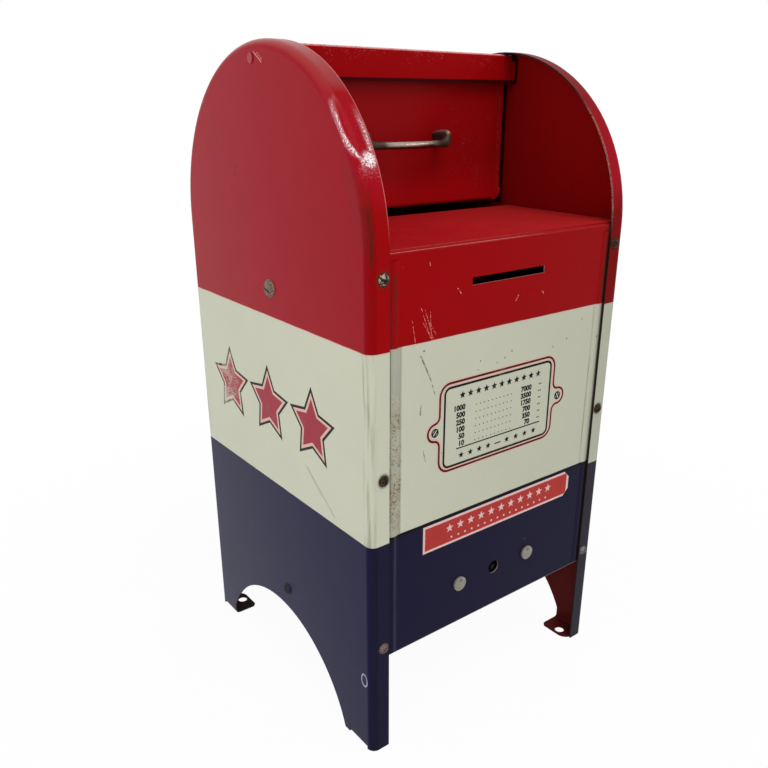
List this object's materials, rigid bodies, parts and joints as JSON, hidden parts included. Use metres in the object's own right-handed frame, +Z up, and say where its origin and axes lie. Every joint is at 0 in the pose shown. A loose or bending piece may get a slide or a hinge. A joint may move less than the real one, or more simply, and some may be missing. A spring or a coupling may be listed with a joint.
{
  "type": "tin money box",
  "caption": "Tin money box like a street letter box: round-topped side panels on legs, a shelf, a hanging hopper door with a pull, a coin slot, and a floor trap with a bolt lock.",
  "frame": {"origin": "on the table, under the middle of the box", "axes": "+X to the box's left as it faces you (the viewer's right), -Y out of the front with the coin slot, +Z up"},
  "size_m": [0.1176, 0.1204, 0.235],
  "materials": {
    "painted_side": "gloss enamel in red, white and blue bands, worn",
    "painted_front": "gloss enamel in red, white and blue bands, worn",
    "door_red": "gloss red enamel",
    "plain_tin": "plain tinplate",
    "nickel": "worn nickel plate",
    "worn_screws": "tarnished",
    "label_red": "satin"
  },
  "bodies": {
    "box": {"left_side_panel": "painted_side", "right_side_panel": "painted_side", "front_panel": "painted_front", "rear_panel": "painted_front", "floor_plate": "plain_tin", "cross_brace": "plain_tin", "brace_screws": "nickel", "brace_nuts": "plain_tin", "front_rim_screws": "worn_screws", "rear_rim_screws": "worn_screws", "floor_screws": "worn_screws", "door_rod": "nickel", "door_washers": "plain_tin", "lock_case": "plain_tin", "bolt_spring": "plain_tin", "key_post": "plain_tin", "lock_spacers": "plain_tin", "lock_fixing_screws": "nickel", "lock_nuts": "plain_tin", "trap_hinge_wire": "plain_tin", "front_label": "label_red"},
    "door": {"hopper_door": "door_red", "door_handle": "nickel"},
    "trap": {"trap_door": "plain_tin", "trap_catch": "plain_tin", "catch_rivets": "plain_tin"},
    "bolt": {"lock_bolt": "plain_tin"}
  },
  "joints": [
    {"name": "door_swing", "type": "hinge", "parent": "box", "child": "door", "pos_m": [0, 0.0025, 0.2295], "axis": [-1, 0, 0], "range_deg": [0, 25]},
    {"name": "trap_swing", "type": "hinge", "parent": "box", "child": "trap", "pos_m": [0, -0.02, 0.04424], "axis": [1, 0, 0], "range_deg": [0, 95]},
    {"name": "bolt_slide", "type": "slide", "parent": "box", "child": "bolt", "axis": [1, 0, 0], "range_m": [0, 0.0046]}
  ]
}
